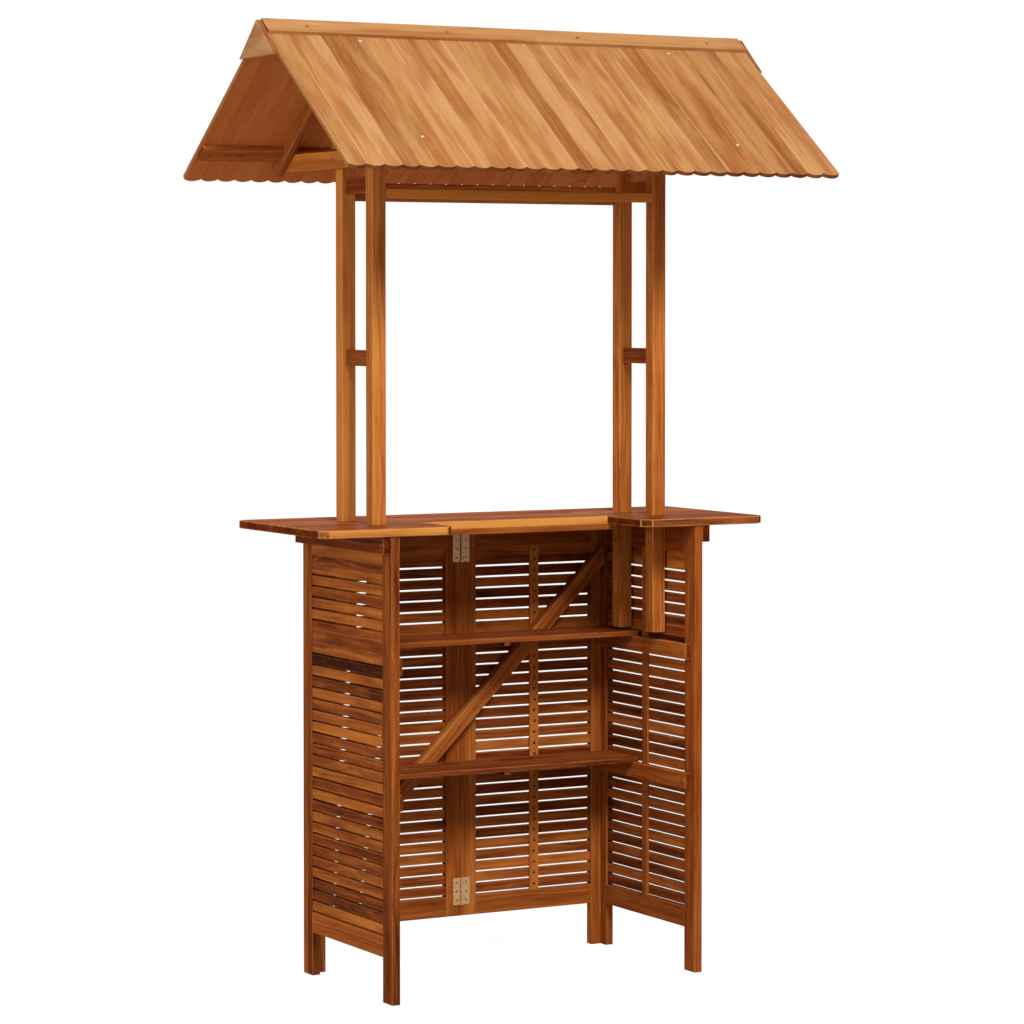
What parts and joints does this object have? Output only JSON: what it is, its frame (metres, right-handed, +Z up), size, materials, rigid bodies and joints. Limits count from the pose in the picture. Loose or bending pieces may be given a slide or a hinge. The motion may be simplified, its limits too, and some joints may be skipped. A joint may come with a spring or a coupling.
{
  "type": "outdoor bar table with roof",
  "caption": "Free-standing wooden outdoor bar: slatted cabinet with open back and shelves, counter with bartender's cut-out, and a gabled board roof on posts.",
  "frame": {"origin": "on the floor, under the middle of the roof: the bounding box's bottom centre", "axes": "+X along the counter to the bartender's right, +Y from the bartender's open side to the customers' side, +Z up"},
  "size_m": [1.265, 0.864, 2.166],
  "materials": {
    "post_wood": "oiled hardwood, satin, eased edges",
    "rail_wood": "oiled hardwood, satin",
    "slat_wood": "oiled hardwood strips of mixed tone, satin",
    "shelf_wood": "dark oiled hardwood, satin",
    "counter_wood": "oiled hardwood boards, satin",
    "roof_wood": "light golden hardwood boards, satin",
    "beam_wood": "oiled hardwood, satin",
    "brass": "brass-plated, slightly dull",
    "screw_steel": "zinc-plated screw heads"
  },
  "bodies": {
    "root": {"left_near_post": "post_wood", "left_far_post": "post_wood", "left_top_rail": "rail_wood", "left_bottom_rail": "rail_wood", "left_slats": "slat_wood", "left_mullion": "rail_wood", "right_near_post": "post_wood", "right_far_post": "post_wood", "right_top_rail": "rail_wood", "right_bottom_rail": "rail_wood", "right_slats": "slat_wood", "right_mullion": "rail_wood", "front_left_end_stile": "post_wood", "front_left_hinge_stile": "post_wood", "front_left_top_rail": "rail_wood", "front_left_bottom_rail": "rail_wood", "front_left_slats": "slat_wood", "front_left_mullion": "rail_wood", "front_right_end_stile": "post_wood", "front_right_hinge_stile": "post_wood", "front_right_top_rail": "rail_wood", "front_right_bottom_rail": "rail_wood", "front_right_slats": "slat_wood", "front_right_mullion": "rail_wood", "hinge_left_leaves": "brass", "hinge_right_leaves": "brass", "hinge_pins": "brass", "hinge_screws": "brass", "diagonal_brace": "post_wood", "upper_shelf_battens": "rail_wood", "lower_shelf_battens": "rail_wood", "upper_shelf": "shelf_wood", "lower_shelf": "shelf_wood", "counter_middle": "counter_wood", "counter_left_wing": "counter_wood", "counter_right_wing": "counter_wood", "counter_batten": "rail_wood", "counter_cleats": "rail_wood", "near_left_roof_post": "post_wood", "far_left_roof_post": "post_wood", "near_right_roof_post": "post_wood", "far_right_roof_post": "post_wood", "lower_spacers": "beam_wood", "upper_spacers": "beam_wood", "near_top_batten": "beam_wood", "far_top_batten": "beam_wood", "left_tie": "beam_wood", "right_tie": "beam_wood", "left_near_rafter": "beam_wood", "left_far_rafter": "beam_wood", "right_near_rafter": "beam_wood", "right_far_rafter": "beam_wood", "near_eave_purlin": "beam_wood", "far_eave_purlin": "beam_wood", "ridge_purlins": "beam_wood", "near_roof_boards": "roof_wood", "far_roof_boards": "roof_wood", "ridge_caps": "roof_wood", "gable_plates": "roof_wood", "wood_screws": "screw_steel"}
  },
  "joints": []
}
